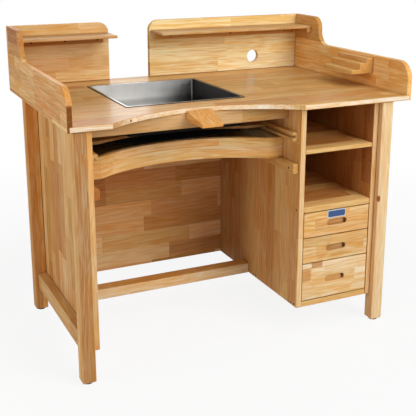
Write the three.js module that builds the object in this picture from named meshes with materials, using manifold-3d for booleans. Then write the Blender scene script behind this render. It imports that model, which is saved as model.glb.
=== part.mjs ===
// A free-standing jeweller's bench: a square-legged frame with a drawer cabinet on the right, a worktop
// with a scalloped front, a drop-in steel tray, a bench pin, a pull-out skin and a catch drawer.
// Millimetres, +Z up, +Y towards the back. The origin is on the floor, under the middle of the bench.
import * as THREE from "three";
import { ConvexGeometry } from "three/addons/geometries/ConvexGeometry.js";
import { mergeVertices } from "three/addons/utils/BufferGeometryUtils.js";
import Module from "manifold-3d";

const wasm = await Module();
wasm.setup();

// Overall sizes
const WIDTH = 1200;
const DEPTH = 760;
const WORK_HEIGHT = 821;
const GALLERY_RISE = 215;

// Clearances
const GLUE = 0.2; // between faces that are glued or screwed together
const RIDE = 0.3; // under a piece that slides or rests on another
const RUN = 1.5; // beside a piece that slides between two others
const SHELF_PLAY = 0.6; // at each end of the loose shelf
const TRAY_PLAY = 1.5; // round the tray in its opening
const TENON_PLAY = 0.5; // round the bench pin's tenon

// Edges
const ARRIS = 1.5; // the small flat taken off every sawn edge
const LEG_ARRIS = 2.5;
const TIN_ARRIS = 0.3;
const ARC_STEPS = 8;
const SCALLOP_STEPS = 36;

// Legs and feet
const LEG = 44;
const LEG_INSET_LEFT = 17;
const LEG_INSET_RIGHT = 65;
const LEG_INSET_FRONT = 8;
const FRAME_DEPTH = 637;
const FOOT_HEIGHT = 6;
const FOOT_RADIUS = 17;
const FOOT_TAPER = 1.5;
const FOOT_SIDES = 24;

// Panels and rails of the frame
const PANEL = 20;
const PANEL_SETBACK = 20;
const PANEL_BOTTOM = 102;
const BACK_PANEL = 16;
const SIDE_RAIL = 31;
const SIDE_RAIL_HEIGHT = 56;
const SIDE_RAIL_BOTTOM = 91;
const FOOT_RAIL_DEPTH = 50;
const FOOT_RAIL_HEIGHT = 38;
const FOOT_RAIL_SETBACK = 373;

// Cabinet
const CABINET_WIDTH = 305;
const LOOSE_SHELF = 14;
const LOOSE_SHELF_RISE = 184;
const LOOSE_SHELF_BACK_GAP = 4;
const PEG_RADIUS = 2.5;
const PEG_REACH = 9;
const PEG_INSET = 42;
const PEG_SIDES = 12;
const PIN_HOLE_DEPTH = 9;
const PIN_HOLE_STEPS = [-96, -46, 54, 104]; // spare holes, from the loose shelf's underside

// Drawers of the cabinet, from the lowest up
const DRAWER_FRONT_HEIGHTS = [132.6, 89.8, 87.6];
const DRAWER_GAP = 3;
const DRAWER_FRONT = 20;
const DRAWER_WALL = 12;
const DRAWER_BASE = 6;
const DRAWER_BACK_GAP = 41;
const DRAWER_BASE_RISE = 6;
const DRAWER_RIM_DROP = 6;
const DRAWER_RUNNER_HEIGHT = 14;
const DRAWER_RUNNER_RISE = 4;
const PULL_WIDTH = 79;
const PULL_HEIGHT = 22;
const PULL_RECESS = 12;

// Worktop and its scalloped front
const TOP_THICKNESS = 17;
const SCALLOP_LEFT_FLAT = 136;
const SCALLOP_CABINET_GAP = 4;
const SCALLOP_DEPTH = 116;
const EDGE_HOLE_RADIUS = 4;
const EDGE_HOLE_DEPTH = 25;
const EDGE_HOLE_INSET = 209; // from the worktop's left end to the peg hole in its curved edge

// Gallery: side boards, raised cheeks, back boards, shelves
const GALLERY_BOARD = 18;
const SIDE_LIP = 8;
const SIDE_BOARD_RISE = 112;
const SIDE_BOARD_ROUND = 58;
const SEAM_STEP = 11; // from the side board's top up to where the cheek is glued on
const CHEEK_LENGTH = 175;
const CHEEK_ROUND_SHARE = 0.43; // of the cheek's rise
const FLARE_SHARE = 0.505;
const BACK_BOARD_LEFT_END = 374;
const BACK_BOARD_GAP = 161;
const BACK_BOARD_ROUND = 38;
const CABLE_HOLE_RADIUS = 25;
const CABLE_HOLE_INSET = 218;
const CABLE_HOLE_RISE = 54;
const HOLE_SIDES = 40;
const TOOL_SHELF = 10;
const TOOL_SHELF_DROP = 37;
const TOOL_SHELF_DEPTH = 122;
const TOOL_SHELF_INSET = 6;
const CLEAT_HEIGHT = 26;
const CLEAT_DEPTH = 16;
const END_CLEAT_HEIGHT = 17;
const END_CLEAT_WIDTH = 19;

// Stepped tool rack: each step's width out from the side board and its own rise
const RACK_WIDTHS = [90, 57, 29];
const RACK_RISES = [15, 22, 17];
const RACK_LENGTH = 188;
const RACK_SETBACK = 198;
const RACK_LIFT = 48;

// Steel tray
const TRAY_WIDTH = 424;
const TRAY_INSET_LEFT = 247;
const TRAY_INSET_FRONT = 202;
const TRAY_BACK_GAP = 2;
const TRAY_DEPTH = 96;
const TRAY_SHEET = 1.5;
const TRAY_RIM = 9;
const TRAY_CORNER = 10;

// Apron and bench pin
const APRON = 22;
const APRON_HEIGHT = 47;
const APRON_PROUD = 3;
const PIN_REAR_WIDTH = 88;
const PIN_FRONT_WIDTH = 70;
const PIN_LENGTH = 103;
const PIN_REAR_HEIGHT = 30;
const PIN_FRONT_HEIGHT = 9;
const PIN_TOP_DROP = 8;
const PIN_BASE_FALL = 6;
const TENON_WIDTH = 60;
const TENON_HEIGHT = 14;
const TENON_TAIL = 12;
const TENON_BASE_RISE = 3;
const TENON_ROOT = 6;

// Pull-out skin: a frame that slides in grooved runners, with a leather hung under it
const SKIN_FRAME = 10;
const SKIN_TRAY_GAP = 11.5;
const SKIN_SETBACK = 235;
const SKIN_BACK_GAP = 14;
const SKIN_END_FLAT = 80;
const SKIN_SCALLOP_DEPTH = 61;
const SKIN_BORDER = 44;
const GROOVE_PLAY = 0.75;
const GROOVE_DEPTH = 12;
const RUNNER_WIDTH = 20;
const RUNNER_LIP = 8.75;
const UPPER_RUNNER_SETBACK = 38;
const LEATHER = 2.2;
const LEATHER_HEM = 6;
const LEATHER_LAP = 18;
const LEATHER_SAG = 9;
const LEATHER_SAG_RUN = 130;
const LEATHER_COLUMNS = 24;
const LEATHER_ROWS = 14;

// Catch drawer and its plain runners
const CATCH_SKIN_GAP = 4;
const CATCH_HEIGHT = 70;
const CATCH_SETBACK = 134;
const CATCH_BACK_GAP = 15;
const CATCH_FRONT = 22;
const CATCH_END_FLAT = 58;
const CATCH_SCALLOP_DEPTH = 94;
const CATCH_WALL = 14;
const CATCH_WALL_DROP = 6;
const CATCH_BASE = 6;
const CATCH_BASE_RISE = 8;
const LOWER_RUNNER_HEIGHT = 33;
const LOWER_RUNNER_SETBACK = 30;

// Levels and planes that the pieces share
const LEFT = -WIDTH / 2;
const RIGHT = WIDTH / 2;
const FRONT = -DEPTH / 2;
const BACK = DEPTH / 2;
const TOP_UNDER = WORK_HEIGHT - TOP_THICKNESS;
const GALLERY_TOP = WORK_HEIGHT + GALLERY_RISE;
const SIDE_BOARD_TOP = WORK_HEIGHT + SIDE_BOARD_RISE;
const SEAM = SIDE_BOARD_TOP + SEAM_STEP;
const CHEEK_ROUND = CHEEK_ROUND_SHARE * (GALLERY_RISE - SIDE_BOARD_RISE);
const FLARE_RADIUS = FLARE_SHARE * (GALLERY_RISE - SIDE_BOARD_RISE);
const LEG_FRONT = FRONT + LEG_INSET_FRONT;
const LEG_REAR = LEG_FRONT + FRAME_DEPTH;
const LEFT_LEGS = [LEFT + LEG_INSET_LEFT, LEFT + LEG_INSET_LEFT + LEG];
const RIGHT_LEGS = [RIGHT - LEG_INSET_RIGHT - LEG, RIGHT - LEG_INSET_RIGHT];
const FRONT_LEGS = [LEG_FRONT, LEG_FRONT + LEG];
const REAR_LEGS = [LEG_REAR - LEG, LEG_REAR];
const PANEL_FRONT = LEG_FRONT + PANEL_SETBACK;
const BACK_FACE = LEG_REAR - BACK_PANEL;
const UNDER_TOP = TOP_UNDER - GLUE;
const PANEL_HEIGHTS = [PANEL_BOTTOM, UNDER_TOP];
const PANEL_DEPTHS = [PANEL_FRONT, BACK_FACE - GLUE];
const LEFT_PANEL = [LEFT_LEGS[1] + GLUE, LEFT_LEGS[1] + GLUE + PANEL];
const CABINET_RIGHT = [RIGHT_LEGS[0] - GLUE - PANEL, RIGHT_LEGS[0] - GLUE];
const CABINET_LEFT = [CABINET_RIGHT[1] - CABINET_WIDTH, CABINET_RIGHT[1] - CABINET_WIDTH + PANEL];
const KNEE = [LEFT_PANEL[1], CABINET_LEFT[0]];
const BAY = [CABINET_LEFT[1], CABINET_RIGHT[0]];
const DRAWER_STACK = DRAWER_FRONT_HEIGHTS.reduce((sum, height) => sum + height + DRAWER_GAP, DRAWER_GAP);
const CABINET_FLOOR = PANEL_BOTTOM + PANEL;
const FIXED_SHELF_BOTTOM = CABINET_FLOOR + DRAWER_STACK;
const LOOSE_SHELF_BOTTOM = FIXED_SHELF_BOTTOM + PANEL + LOOSE_SHELF_RISE;
const BACK_BOARD_FACE = BACK - GALLERY_BOARD;

// Finishes: colour, roughness and metalness of each kind of surface
const HONEY = { color: 0xd6a868, roughness: 0.42, metalness: 0 };
const PALE = { color: 0xe3c189, roughness: 0.42, metalness: 0 };
const AMBER = { color: 0xc08a4e, roughness: 0.45, metalness: 0 };
const SHADED = { color: 0xa87846, roughness: 0.5, metalness: 0 };
const STEEL = { color: 0xbfbfbc, roughness: 0.28, metalness: 1 };
const HIDE = { color: 0x121314, roughness: 0.55, metalness: 0 };
const GLIDE = { color: 0x1b1b1c, roughness: 0.6, metalness: 0 };

const bench = new THREE.Group();

// Small measures of a range written as [from, to]
const middle = ([from, to]) => (from + to) / 2;
const length = ([from, to]) => to - from;
const inset = ([from, to], by) => [from + by, to - by];

// Adds one named mesh with a material of its own.
function addPiece(group, name, finish, geometry, x = 0, y = 0, z = 0) {
  const mesh = new THREE.Mesh(geometry, new THREE.MeshStandardMaterial(finish));
  mesh.name = name;
  mesh.position.set(x, y, z);
  group.add(mesh);
  return mesh;
}

// Extrudes an outline from 0 to depth, with a flat taken off both rims.
function extruded(shape, depth, edge = ARRIS, curveSegments = ARC_STEPS) {
  const geometry = new THREE.ExtrudeGeometry(shape, {
    depth: depth - 2 * edge,
    bevelThickness: edge,
    bevelSize: edge,
    bevelOffset: -edge,
    bevelSegments: 1,
    curveSegments,
  });
  return geometry.translate(0, 0, edge);
}

// Turns an extrusion whose outline was drawn in Y and Z so that its depth runs along +X.
function turnedAlongX(geometry) {
  const turn = new THREE.Matrix4().makeBasis(
    new THREE.Vector3(0, 1, 0),
    new THREE.Vector3(0, 0, 1),
    new THREE.Vector3(1, 0, 0),
  );
  return geometry.applyMatrix4(turn);
}

// Turns an extrusion whose outline was drawn in X and Z so that its depth runs from 0 along +Y.
function turnedAlongY(geometry, depth) {
  return geometry.rotateX(Math.PI / 2).translate(0, depth, 0);
}

// A closed outline from a list of corners.
function polygon(corners) {
  return new THREE.Shape(corners.map(([x, y]) => new THREE.Vector2(x, y)));
}

// A rectangle about the origin with its four corners clipped.
function clippedRectangle(width, height, clip) {
  const x = width / 2;
  const y = height / 2;
  return polygon([
    [clip - x, -y],
    [x - clip, -y],
    [x, clip - y],
    [x, y - clip],
    [x - clip, y],
    [clip - x, y],
    [-x, y - clip],
    [-x, clip - y],
  ]);
}

// A rectangle about the origin with round corners.
function roundRectangle(width, height, radius) {
  const x = width / 2 - radius;
  const y = height / 2 - radius;
  const shape = new THREE.Shape();
  shape.absarc(x, -y, radius, -Math.PI / 2, 0);
  shape.absarc(x, y, radius, 0, Math.PI / 2);
  shape.absarc(-x, y, radius, Math.PI / 2, Math.PI);
  shape.absarc(-x, -y, radius, Math.PI, Math.PI * 1.5);
  shape.closePath();
  return shape;
}

// A slot about the origin with half-round ends.
function stadium(width, height) {
  const radius = height / 2;
  const x = width / 2 - radius;
  const shape = new THREE.Shape();
  shape.absarc(x, 0, radius, -Math.PI / 2, Math.PI / 2);
  shape.absarc(-x, 0, radius, Math.PI / 2, Math.PI * 1.5);
  shape.closePath();
  return shape;
}

// A cutter with square rims, extruded from 0 to depth.
function cutter(shape, depth) {
  return new THREE.ExtrudeGeometry(shape, { depth, bevelEnabled: false, curveSegments: ARC_STEPS });
}

// A plain sawn board that fills the given ranges.
function board(x, y, z, edge = ARRIS) {
  const geometry = extruded(clippedRectangle(length(x), length(y), edge), length(z), edge);
  return geometry.translate(middle(x), middle(y), z[0]);
}

function addBoard(group, name, finish, x, y, z, edge = ARRIS) {
  return addPiece(group, name, finish, board(x, y, z, edge));
}

// Boolean work: a closed geometry becomes a solid, and comes back as a geometry.
function solidOf(geometry) {
  const bare = geometry.clone();
  bare.deleteAttribute("normal");
  bare.deleteAttribute("uv");
  const merged = mergeVertices(bare, 1e-3);
  return new wasm.Manifold(
    new wasm.Mesh({
      numProp: 3,
      vertProperties: merged.attributes.position.array,
      triVerts: new Uint32Array(merged.index.array),
    }),
  );
}

function geometryOf(solid) {
  const { vertProperties, triVerts } = solid.getMesh();
  const geometry = new THREE.BufferGeometry();
  geometry.setAttribute("position", new THREE.BufferAttribute(vertProperties, 3));
  geometry.setIndex(new THREE.BufferAttribute(triVerts, 1));
  geometry.computeVertexNormals();
  return geometry;
}

function cut(geometry, ...tools) {
  return geometryOf(tools.reduce((solid, tool) => solid.subtract(solidOf(tool)), solidOf(geometry)));
}

function joined(geometry, ...others) {
  return geometryOf(others.reduce((solid, other) => solid.add(solidOf(other)), solidOf(geometry)));
}

// A sharp-edged block for cuts and joins.
function block(x, y, z) {
  return new THREE.BoxGeometry(length(x), length(y), length(z)).translate(middle(x), middle(y), middle(z));
}

// A shallow circular scallop between two ends on the line y = front, as deep as depth.
function scallop(ends, front, depth) {
  const half = length(ends) / 2;
  const radius = (half * half + depth * depth) / (2 * depth);
  const swing = Math.asin(half / radius);
  return {
    ends,
    x: middle(ends),
    y: front + depth - radius,
    radius,
    left: Math.PI / 2 + swing,
    right: Math.PI / 2 - swing,
  };
}

// Draws a line to a scallop's left end, then the scallop from left to right, moved back by a distance.
function drawScallop(path, arc, back = 0) {
  path.lineTo(arc.ends[0], scallopLine(arc, arc.ends[0]) + back);
  path.absarc(arc.x, arc.y + back, arc.radius, arc.left, arc.right, true);
}

// Draws the same scallop from right to left.
function drawScallopBack(path, arc, back = 0) {
  path.absarc(arc.x, arc.y + back, arc.radius, arc.right, arc.left, false);
}

// The scallop's depth line at one x, flat beyond its ends.
function scallopLine(arc, x) {
  const reach = Math.min(Math.max(x, arc.ends[0]), arc.ends[1]) - arc.x;
  return arc.y + Math.sqrt(arc.radius * arc.radius - reach * reach);
}

// An outline with a scalloped front, straight sides and a straight back.
function scallopedPlan(shape, arc, x, front, back) {
  shape.moveTo(x[0], front);
  drawScallop(shape, arc, front - scallopLine(arc, arc.ends[0]));
  shape.lineTo(x[1], front);
  shape.lineTo(x[1], back);
  shape.lineTo(x[0], back);
  shape.closePath();
  return shape;
}

// Four square legs on round glides
function addLegs() {
  const sides = { left: LEFT_LEGS, right: RIGHT_LEGS };
  const ends = { front: FRONT_LEGS, rear: REAR_LEGS };
  for (const [side, x] of Object.entries(sides)) {
    for (const [end, y] of Object.entries(ends)) {
      addBoard(bench, `leg_${end}_${side}`, HONEY, x, y, [FOOT_HEIGHT + GLUE, UNDER_TOP], LEG_ARRIS);
      const tip = FOOT_RADIUS - FOOT_TAPER;
      const glide = new THREE.CylinderGeometry(FOOT_RADIUS, tip, FOOT_HEIGHT, FOOT_SIDES);
      glide.rotateX(Math.PI / 2);
      addPiece(bench, `glide_${end}_${side}`, GLIDE, glide, middle(x), middle(y), FOOT_HEIGHT / 2);
    }
  }
}

// Side panel, rails and back panel of the frame
function addFrame() {
  addBoard(bench, "left_side_panel", AMBER, LEFT_PANEL, PANEL_DEPTHS, PANEL_HEIGHTS);
  const railDepths = inset([FRONT_LEGS[1], REAR_LEGS[0]], GLUE);
  const railHeights = [SIDE_RAIL_BOTTOM, SIDE_RAIL_BOTTOM + SIDE_RAIL_HEIGHT];
  const leftRail = [LEFT_LEGS[1] - SIDE_RAIL, LEFT_LEGS[1]];
  const rightRail = [RIGHT_LEGS[0], RIGHT_LEGS[0] + SIDE_RAIL];
  addBoard(bench, "left_bottom_rail", AMBER, leftRail, railDepths, railHeights);
  addBoard(bench, "right_bottom_rail", AMBER, rightRail, railDepths, railHeights);
  const backWidth = inset([LEFT_LEGS[1], RIGHT_LEGS[0]], GLUE);
  addBoard(bench, "back_panel", SHADED, backWidth, [BACK_FACE, LEG_REAR], PANEL_HEIGHTS);
  const railFront = LEG_FRONT + FOOT_RAIL_SETBACK;
  const footRailDepths = [railFront, railFront + FOOT_RAIL_DEPTH];
  const footRailHeights = [PANEL_BOTTOM, PANEL_BOTTOM + FOOT_RAIL_HEIGHT];
  addBoard(bench, "foot_rail", HONEY, inset(KNEE, GLUE), footRailDepths, footRailHeights);
}

// Two rods across a cabinet panel's inner face, one near the front and one near the back.
function rods(rodLength, x, z) {
  const depths = [PANEL_DEPTHS[0] + PEG_INSET, PANEL_DEPTHS[1] - PEG_INSET];
  return depths.map((y) => {
    const rod = new THREE.CylinderGeometry(PEG_RADIUS, PEG_RADIUS, rodLength, PEG_SIDES);
    return rod.rotateZ(Math.PI / 2).translate(x, y, z);
  });
}

// A cabinet panel with its spare pin holes and the pegs that carry the loose shelf
function drilledPanel(width, face, direction) {
  const plain = board(width, PANEL_DEPTHS, PANEL_HEIGHTS);
  const spare = PIN_HOLE_STEPS.map((step) => rods(2 * PIN_HOLE_DEPTH, face, LOOSE_SHELF_BOTTOM + step));
  const pegLength = PEG_REACH + PANEL / 2;
  const pegX = face + direction * (PEG_REACH - pegLength / 2);
  const pegs = rods(pegLength, pegX, LOOSE_SHELF_BOTTOM - RIDE - PEG_RADIUS);
  return joined(cut(plain, ...spare.flat()), ...pegs);
}

// Cabinet carcass with its fixed and loose shelves
function addCabinet() {
  addPiece(bench, "cabinet_left_panel", AMBER, drilledPanel(CABINET_LEFT, BAY[0], 1));
  addPiece(bench, "cabinet_right_panel", AMBER, drilledPanel(CABINET_RIGHT, BAY[1], -1));
  const fixedWidth = inset(BAY, GLUE);
  addBoard(bench, "cabinet_bottom", HONEY, fixedWidth, PANEL_DEPTHS, [PANEL_BOTTOM, CABINET_FLOOR]);
  const shelfHeights = [FIXED_SHELF_BOTTOM, FIXED_SHELF_BOTTOM + PANEL];
  addBoard(bench, "cabinet_fixed_shelf", HONEY, fixedWidth, PANEL_DEPTHS, shelfHeights);
  const looseDepths = [PANEL_FRONT, BACK_FACE - LOOSE_SHELF_BACK_GAP];
  const looseHeights = [LOOSE_SHELF_BOTTOM, LOOSE_SHELF_BOTTOM + LOOSE_SHELF];
  addBoard(bench, "adjustable_shelf", HONEY, inset(BAY, SHELF_PLAY), looseDepths, looseHeights);
}

// One cabinet drawer: a front with a blind finger pull, a three-sided carcass and a base.
function addDrawer(number, bottom, height, seat) {
  const drawer = new THREE.Group();
  drawer.position.set(middle(BAY), PANEL_FRONT, bottom);
  bench.add(drawer);
  const half = length(BAY) / 2 - RUN;
  const wide = [-half, half];
  const pull = turnedAlongY(cutter(stadium(PULL_WIDTH, PULL_HEIGHT), 2 * PULL_RECESS), PULL_RECESS);
  const front = cut(board(wide, [0, DRAWER_FRONT], [0, height]), pull.translate(0, 0, height / 2));
  addPiece(drawer, `drawer_${number}_front`, HONEY, front);
  const wallFront = DRAWER_FRONT + GLUE;
  const wallBack = BACK_FACE - DRAWER_BACK_GAP - PANEL_FRONT;
  const inner = half - DRAWER_WALL;
  const carcass = polygon([
    [-half, wallFront],
    [-inner, wallFront],
    [-inner, wallBack - DRAWER_WALL],
    [inner, wallBack - DRAWER_WALL],
    [inner, wallFront],
    [half, wallFront],
    [half, wallBack],
    [-half, wallBack],
  ]);
  const wallHeight = height - DRAWER_RIM_DROP - seat;
  addPiece(drawer, `drawer_${number}_carcass`, PALE, extruded(carcass, wallHeight), 0, 0, seat);
  const baseBottom = seat + DRAWER_BASE_RISE;
  addBoard(
    drawer,
    `drawer_${number}_base`,
    PALE,
    inset([-inner, inner], GLUE),
    [wallFront, wallBack - DRAWER_WALL - GLUE],
    [baseBottom, baseBottom + DRAWER_BASE],
  );
}

// Three drawers: the lowest rides on the cabinet's bottom, the others on battens.
function addDrawers() {
  let bottom = CABINET_FLOOR + DRAWER_GAP;
  const count = DRAWER_FRONT_HEIGHTS.length;
  DRAWER_FRONT_HEIGHTS.forEach((height, index) => {
    const number = count - index;
    const onBattens = index > 0;
    const battenTop = bottom + DRAWER_RUNNER_RISE + DRAWER_RUNNER_HEIGHT;
    const seat = onBattens ? battenTop + RIDE - bottom : RIDE - DRAWER_GAP;
    addDrawer(number, bottom, height, seat);
    if (onBattens) {
      const depths = [PANEL_FRONT + DRAWER_FRONT + RUN, PANEL_DEPTHS[1]];
      const heights = [battenTop - DRAWER_RUNNER_HEIGHT, battenTop];
      const leftBatten = [BAY[0] + GLUE, BAY[0] + RUN + DRAWER_WALL];
      const rightBatten = [BAY[1] - RUN - DRAWER_WALL, BAY[1] - GLUE];
      addBoard(bench, `drawer_${number}_runner_left`, AMBER, leftBatten, depths, heights);
      addBoard(bench, `drawer_${number}_runner_right`, AMBER, rightBatten, depths, heights);
    }
    bottom += height + DRAWER_GAP;
  });
}

// The tray's outer wall, which the worktop's opening and the rim are measured from
const TRAY_X = LEFT + TRAY_INSET_LEFT + TRAY_WIDTH / 2;
const TRAY_SPAN = [FRONT + TRAY_INSET_FRONT, BACK_FACE - TRAY_BACK_GAP];
const TRAY_Y = middle(TRAY_SPAN);
const TRAY_LENGTH = length(TRAY_SPAN);
const TRAY_WALL_WIDTH = TRAY_WIDTH - 2 * TRAY_RIM;
const TRAY_WALL_LENGTH = TRAY_LENGTH - 2 * TRAY_RIM;

const TOP_SCALLOP = scallop(
  [LEFT + SCALLOP_LEFT_FLAT, CABINET_LEFT[0] - SCALLOP_CABINET_GAP],
  FRONT,
  SCALLOP_DEPTH,
);

// The peg hole in the worktop's curved edge, square to the curve
function edgeHole() {
  const x = LEFT + EDGE_HOLE_INSET;
  const y = scallopLine(TOP_SCALLOP, x);
  const turn = Math.atan2(TOP_SCALLOP.x - x, y - TOP_SCALLOP.y);
  const reach = 2 * EDGE_HOLE_DEPTH;
  const drill = new THREE.CylinderGeometry(EDGE_HOLE_RADIUS, EDGE_HOLE_RADIUS, reach, PEG_SIDES);
  return drill.rotateZ(turn).translate(x, y, TOP_THICKNESS / 2);
}

// Worktop: its ends lie in the side boards' rebates, its front is scalloped, and the tray drops into it.
function addWorktop() {
  const ends = [LEFT + SIDE_LIP + GLUE, RIGHT - SIDE_LIP - GLUE];
  const plan = scallopedPlan(new THREE.Shape(), TOP_SCALLOP, ends, FRONT, BACK);
  const slab = extruded(plan, TOP_THICKNESS, ARRIS, SCALLOP_STEPS);
  const opening = roundRectangle(
    TRAY_WALL_WIDTH + 2 * TRAY_PLAY,
    TRAY_WALL_LENGTH + 2 * TRAY_PLAY,
    TRAY_CORNER + TRAY_PLAY,
  );
  const well = cutter(opening, 3 * TOP_THICKNESS).translate(TRAY_X, TRAY_Y, -TOP_THICKNESS);
  addPiece(bench, "worktop", HONEY, cut(slab, well, edgeHole()), 0, 0, TOP_UNDER);
}

// Drop-in steel tray, hung by its rim
function addTray() {
  const floor = WORK_HEIGHT - TRAY_DEPTH;
  const rimBottom = WORK_HEIGHT + RIDE;
  const rimTop = rimBottom + TRAY_SHEET;
  const shell = extruded(
    roundRectangle(TRAY_WALL_WIDTH, TRAY_WALL_LENGTH, TRAY_CORNER),
    rimTop - floor + TRAY_SHEET,
    TIN_ARRIS,
  );
  shell.translate(0, 0, floor - TRAY_SHEET);
  const rim = extruded(roundRectangle(TRAY_WIDTH, TRAY_LENGTH, TRAY_CORNER), TRAY_SHEET, TIN_ARRIS);
  rim.translate(0, 0, rimBottom);
  const inside = roundRectangle(
    TRAY_WALL_WIDTH - 2 * TRAY_SHEET,
    TRAY_WALL_LENGTH - 2 * TRAY_SHEET,
    TRAY_CORNER - TRAY_SHEET,
  );
  const hollow = cutter(inside, 2 * TRAY_DEPTH).translate(0, 0, floor);
  addPiece(bench, "steel_tray", STEEL, cut(joined(shell, rim), hollow), TRAY_X, TRAY_Y, 0);
}

// The flare that eases the cheek's front into the side board's top: an arc in Y and Z, cut by the seam.
const FLARE = {
  y: BACK_BOARD_FACE - GLUE - CHEEK_LENGTH - FLARE_RADIUS,
  z: SIDE_BOARD_TOP + FLARE_RADIUS,
};
const FLARE_AT_SEAM = Math.asin((SEAM - FLARE.z) / FLARE_RADIUS);

// Side board's outline: round at the front, rising through the flare's lower end to the seam.
function sideBoardProfile() {
  const roundY = FRONT + SIDE_BOARD_ROUND;
  const profile = new THREE.Shape();
  profile.moveTo(FRONT, TOP_UNDER);
  profile.lineTo(BACK, TOP_UNDER);
  profile.lineTo(BACK, SEAM);
  profile.absarc(FLARE.y, FLARE.z, FLARE_RADIUS, FLARE_AT_SEAM, -Math.PI / 2, true);
  profile.absarc(roundY, SIDE_BOARD_TOP - SIDE_BOARD_ROUND, SIDE_BOARD_ROUND, Math.PI / 2, Math.PI);
  profile.closePath();
  return profile;
}

// Cheek's outline: from the seam up the rest of the flare to a round top corner.
function cheekProfile() {
  const back = BACK_BOARD_FACE - GLUE;
  const roundY = back - CHEEK_LENGTH + CHEEK_ROUND;
  const profile = new THREE.Shape();
  profile.moveTo(back, SEAM + GLUE);
  profile.lineTo(back, GALLERY_TOP);
  profile.absarc(roundY, GALLERY_TOP - CHEEK_ROUND, CHEEK_ROUND, Math.PI / 2, Math.PI);
  const start = Math.asin((SEAM + GLUE - FLARE.z) / FLARE_RADIUS);
  profile.absarc(FLARE.y, FLARE.z, FLARE_RADIUS, 0, start, true);
  profile.closePath();
  return profile;
}

// Side boards, rebated over the worktop's ends, each with a raised cheek glued on at the back
function addSides() {
  const starts = { left: LEFT, right: RIGHT - GALLERY_BOARD };
  const rebates = {
    left: [LEFT + SIDE_LIP, LEFT + 2 * GALLERY_BOARD],
    right: [RIGHT - 2 * GALLERY_BOARD, RIGHT - SIDE_LIP],
  };
  for (const [side, start] of Object.entries(starts)) {
    const slab = turnedAlongX(extruded(sideBoardProfile(), GALLERY_BOARD)).translate(start, 0, 0);
    const rebate = block(rebates[side], [2 * FRONT, 2 * BACK], [0, WORK_HEIGHT + GLUE]);
    addPiece(bench, `${side}_side_board`, HONEY, cut(slab, rebate));
    const cheek = turnedAlongX(extruded(cheekProfile(), GALLERY_BOARD));
    addPiece(bench, `${side}_cheek`, AMBER, cheek, start);
  }
}

// Two back boards with a gap between them, notched over the side boards, round at their inner corners.
function backBoardShape(outer, inner) {
  const toInner = Math.sign(inner - outer);
  const notch = outer + toInner * (GALLERY_BOARD + GLUE);
  const bottom = WORK_HEIGHT + GLUE;
  const round = inner - toInner * BACK_BOARD_ROUND;
  const shape = new THREE.Shape();
  shape.moveTo(notch, bottom);
  shape.lineTo(inner, bottom);
  const corner = GALLERY_TOP - BACK_BOARD_ROUND;
  const start = toInner > 0 ? 0 : Math.PI;
  shape.absarc(round, corner, BACK_BOARD_ROUND, start, Math.PI / 2, toInner < 0);
  shape.lineTo(outer, GALLERY_TOP);
  shape.lineTo(outer, SEAM + GLUE);
  shape.lineTo(notch, SEAM + GLUE);
  shape.closePath();
  return shape;
}

const LEFT_BACK_END = LEFT + BACK_BOARD_LEFT_END;
const RIGHT_BACK_END = LEFT_BACK_END + BACK_BOARD_GAP;

function addBackBoards() {
  const left = turnedAlongY(extruded(backBoardShape(LEFT, LEFT_BACK_END), GALLERY_BOARD), GALLERY_BOARD);
  addPiece(bench, "left_back_board", PALE, left, 0, BACK_BOARD_FACE, 0);
  const holeX = RIGHT - CABLE_HOLE_INSET;
  const reach = 3 * GALLERY_BOARD;
  const drill = new THREE.CylinderGeometry(CABLE_HOLE_RADIUS, CABLE_HOLE_RADIUS, reach, HOLE_SIDES);
  drill.translate(holeX, GALLERY_BOARD / 2, WORK_HEIGHT + CABLE_HOLE_RISE);
  const slab = turnedAlongY(extruded(backBoardShape(RIGHT, RIGHT_BACK_END), GALLERY_BOARD), GALLERY_BOARD);
  const right = cut(slab, drill);
  addPiece(bench, "right_back_board", PALE, right, 0, BACK_BOARD_FACE, 0);
}

// Thin tool shelves on cleats, near the top of the back boards
function addToolShelves() {
  const top = GALLERY_TOP - TOOL_SHELF_DROP;
  const under = top - TOOL_SHELF;
  const depths = [BACK_BOARD_FACE - GLUE - TOOL_SHELF_DEPTH, BACK_BOARD_FACE - GLUE];
  const cleatDepths = [depths[1] - CLEAT_DEPTH, depths[1]];
  const cleatHeights = [under - GLUE - CLEAT_HEIGHT, under - GLUE];
  const innerFaces = [LEFT + GALLERY_BOARD + GLUE, RIGHT - GALLERY_BOARD - GLUE];
  const widths = {
    left: [innerFaces[0], LEFT_BACK_END - TOOL_SHELF_INSET],
    right: [RIGHT_BACK_END + TOOL_SHELF_INSET, innerFaces[1]],
  };
  for (const [side, width] of Object.entries(widths)) {
    addBoard(bench, `${side}_tool_shelf`, PALE, width, depths, [under, top]);
    const cleatWidth = inset(width, END_CLEAT_WIDTH + GLUE);
    addBoard(bench, `${side}_shelf_cleat`, HONEY, cleatWidth, cleatDepths, cleatHeights);
  }
  const endWidth = [innerFaces[1] - END_CLEAT_WIDTH, innerFaces[1]];
  const endHeights = [under - GLUE - END_CLEAT_HEIGHT, under - GLUE];
  addBoard(bench, "right_end_cleat", HONEY, endWidth, depths, endHeights);
}

// Stepped tool rack on the inside of the right side board
function addToolRack() {
  const profile = [[0, 0]];
  let rise = 0;
  RACK_WIDTHS.forEach((width, index) => {
    profile.push([-width, rise]);
    rise += RACK_RISES[index];
    profile.push([-width, rise]);
  });
  profile.push([0, rise]);
  const rack = turnedAlongY(extruded(polygon(profile.reverse()), RACK_LENGTH), RACK_LENGTH);
  const x = RIGHT - GALLERY_BOARD - GLUE;
  addPiece(bench, "tool_rack", AMBER, rack, x, FRONT + RACK_SETBACK, WORK_HEIGHT + RACK_LIFT);
}

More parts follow.
